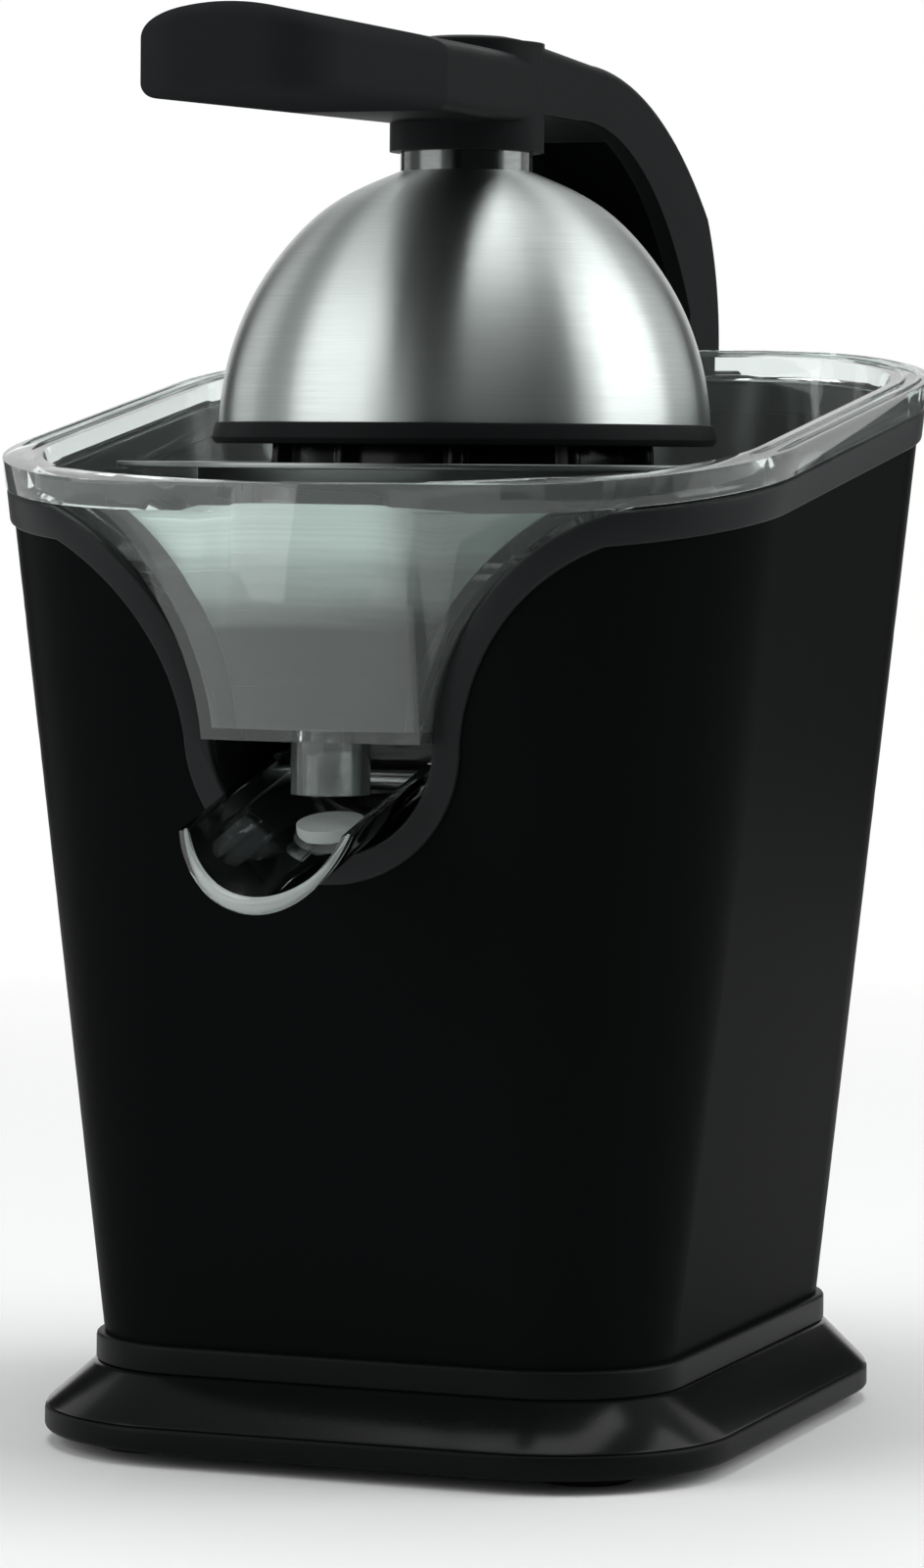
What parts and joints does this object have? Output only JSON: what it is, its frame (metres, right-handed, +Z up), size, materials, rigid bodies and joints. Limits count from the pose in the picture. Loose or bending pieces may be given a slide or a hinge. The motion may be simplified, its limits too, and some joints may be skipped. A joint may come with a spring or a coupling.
{
  "type": "citrus press",
  "caption": "Electric lever citrus press: tapered body, clear juice bowl with a tilting spout, ribbed reamer, and a hinged arm with a steel dome.",
  "frame": {"origin": "on the surface under the feet, on the drive axis, midway between the handle's tip and the hinge tower's back", "axes": "+Z up along the drive axis, -Y to the front where the spout and the handle point, +X to the right seen from behind the front"},
  "size_m": [0.1822, 0.28, 0.3075],
  "materials": {
    "satin_black": "satin black moulded plastic",
    "body_black": "satin-gloss black moulded plastic",
    "trim_grey": "dark grey satin plastic",
    "gloss_black": "polished black plastic",
    "clear_plastic": "clear, faintly smoky plastic",
    "brushed_steel": "brushed stainless steel",
    "polished_steel": "polished stainless steel",
    "steel": "zinc plated steel",
    "silicone": "grey-white silicone",
    "rubber": "black rubber",
    "nylon": "natural nylon",
    "brass": "sintered bronze",
    "magnet": "ferrite"
  },
  "bodies": {
    "housing": {"rubber_feet": "rubber", "base_skirt": "trim_grey", "base_plate": "satin_black", "base_moulding": "gloss_black", "collar_ring": "trim_grey", "body_shell": "body_black", "cord_inlet": "rubber", "mouth_trim": "trim_grey", "bowl_gasket": "rubber", "inner_deck": "satin_black", "shaft_seal": "silicone", "shaft_bush": "brass", "juice_bowl": "clear_plastic", "chute_liner": "brushed_steel", "strainer": "polished_steel", "tower_screws": "steel", "hinge_tower": "satin_black", "hinge_pin": "steel", "spout_pin": "steel", "chassis_posts": "nylon", "base_screws": "steel", "gear_carrier": "steel", "carrier_screws": "steel", "gear_cover": "nylon", "cover_screws": "steel", "motor_can": "steel", "motor_screws": "steel", "motor_magnets": "magnet", "switch_body": "satin_black"},
    "press_arm": {"arm_frame": "satin_black", "hinge_bushes": "brass", "hub_cap": "satin_black", "handle_grip": "satin_black", "handle_underside": "satin_black", "grip_screws": "steel", "dome_shell": "brushed_steel", "dome_ring": "satin_black", "dome_neck": "polished_steel", "dome_bolt": "steel"},
    "spout": {"spout_scoop": "clear_plastic", "spout_plug": "silicone"},
    "output_gear": {"output_gear": "nylon", "return_spring": "steel"},
    "spindle": {"drive_shaft": "polished_steel", "reamer": "satin_black"},
    "rotor": {"motor_shaft": "polished_steel", "motor_pinion": "brass", "rotor_core": "steel"},
    "switch_plunger": {"switch_plunger": "nylon"}
  },
  "joints": [
    {"name": "press_arm_hinge", "type": "hinge", "parent": "housing", "child": "press_arm", "pos_m": [0, 0.1187, 0.222], "axis": [-1, 0, 0], "range_deg": [0, 85]},
    {"name": "spout_tilt", "type": "hinge", "parent": "housing", "child": "spout", "pos_m": [0, -0.056, 0.146], "axis": [-1, 0, 0], "range_deg": [0, 14.5]},
    {"name": "output_gear_turn", "type": "hinge", "parent": "housing", "child": "output_gear", "pos_m": [0, 0, 0.0985], "axis": [0, 0, 1], "continuous": true},
    {"name": "reamer_press", "type": "slide", "parent": "output_gear", "child": "spindle", "axis": [0, 0, -1], "range_m": [0, 0.0025], "stiffness_N_per_m": 2400, "springref_m": -0.0025, "deforming": ["return_spring"]},
    {"name": "motor_turn", "type": "hinge", "parent": "housing", "child": "rotor", "pos_m": [0, 0.038, 0.0985], "axis": [0, 0, 1], "continuous": true},
    {"name": "switch_press", "type": "slide", "parent": "housing", "child": "switch_plunger", "axis": [0, 0, -1], "range_m": [0, 0.0025]}
  ],
  "couplings": [
    {"joint": "output_gear_turn", "follows": "motor_turn", "ratio": -0.22581},
    {"joint": "switch_press", "follows": "reamer_press", "ratio": 1}
  ]
}
